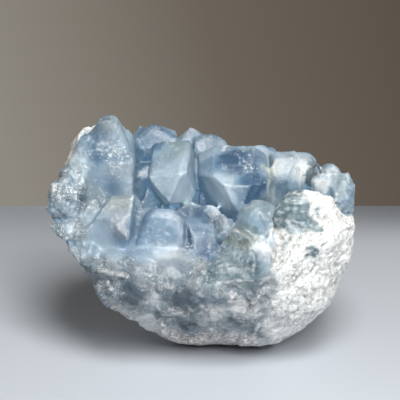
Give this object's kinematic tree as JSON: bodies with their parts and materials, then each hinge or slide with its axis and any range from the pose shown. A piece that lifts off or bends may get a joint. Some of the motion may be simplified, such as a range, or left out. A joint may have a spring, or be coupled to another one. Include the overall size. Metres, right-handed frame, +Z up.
{
  "type": "celestite geode",
  "caption": "Broken section of a celestite geode: a rounded bowl of pale chalky rock, lined with blocky, see-through pale blue crystals that point inwards and up.",
  "frame": {"origin": "on the surface it rests on, under the middle of the geode's box", "axes": "+Z up, X along the geode's length, and -Y towards its open front"},
  "size_m": [0.1094, 0.0736, 0.0845],
  "materials": {
    "matrix": "dull, chalky and granular, greyer and slightly see-through where it is freshly broken",
    "crystal": "clear to milky pale blue crystal with glassy, part-frosted faces"
  },
  "bodies": {
    "root": {"matrix": "matrix", "crystal_crust": "crystal"}
  },
  "joints": []
}
